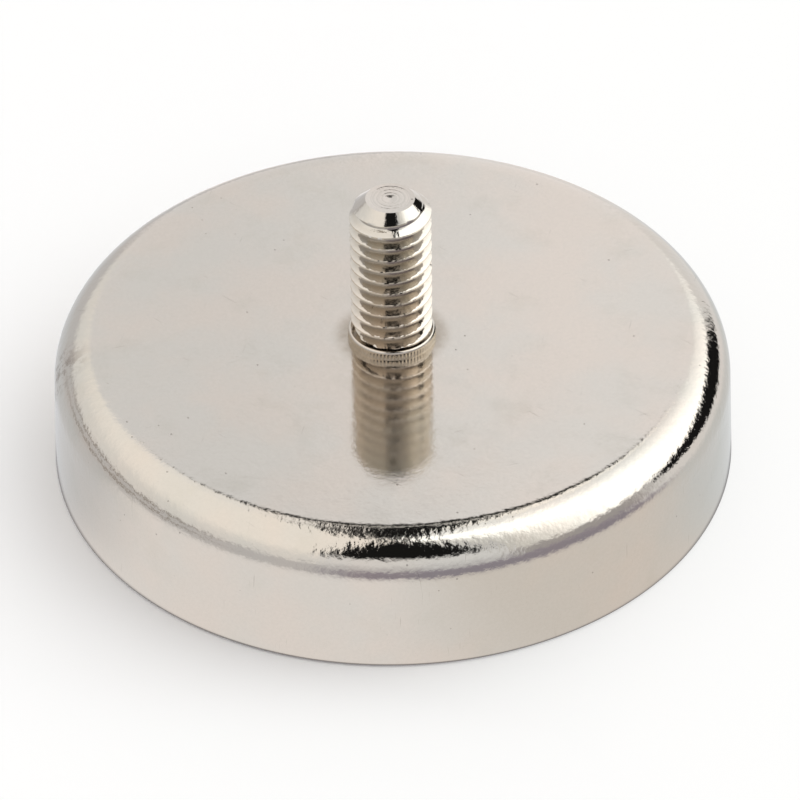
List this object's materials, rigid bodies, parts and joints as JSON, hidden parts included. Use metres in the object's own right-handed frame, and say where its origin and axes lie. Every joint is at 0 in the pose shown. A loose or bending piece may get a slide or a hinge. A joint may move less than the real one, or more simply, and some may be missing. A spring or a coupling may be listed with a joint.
{
  "type": "pot magnet with threaded stud",
  "caption": "Flat round pot magnet in a nickel-plated steel cup with rounded shoulder, and a central threaded stud standing on a short knurled collar, for lifting iron and steel out of water.",
  "frame": {"origin": "centre of the magnetic face, on the plane of the cup's rim", "axes": "+Z along the stud, away from the magnetic face; the object is round about Z"},
  "size_m": [0.05, 0.05, 0.0225],
  "materials": {
    "nickel_cup": "satin nickel plating over steel, softly polished",
    "nickel_stud": "bright nickel plating over steel",
    "nickel_magnet": "bright nickel plating over sintered magnet",
    "adhesive": "cured amber epoxy",
    "ring": "plain turned brass",
    "resin": "cured off-white potting resin, slightly glossy"
  },
  "bodies": {
    "root": {"cup_shell": "nickel_cup", "threaded_stud": "nickel_stud", "magnet_disc": "nickel_magnet", "magnet_adhesive": "adhesive", "centring_ring": "ring", "resin_seal": "resin"}
  },
  "joints": []
}
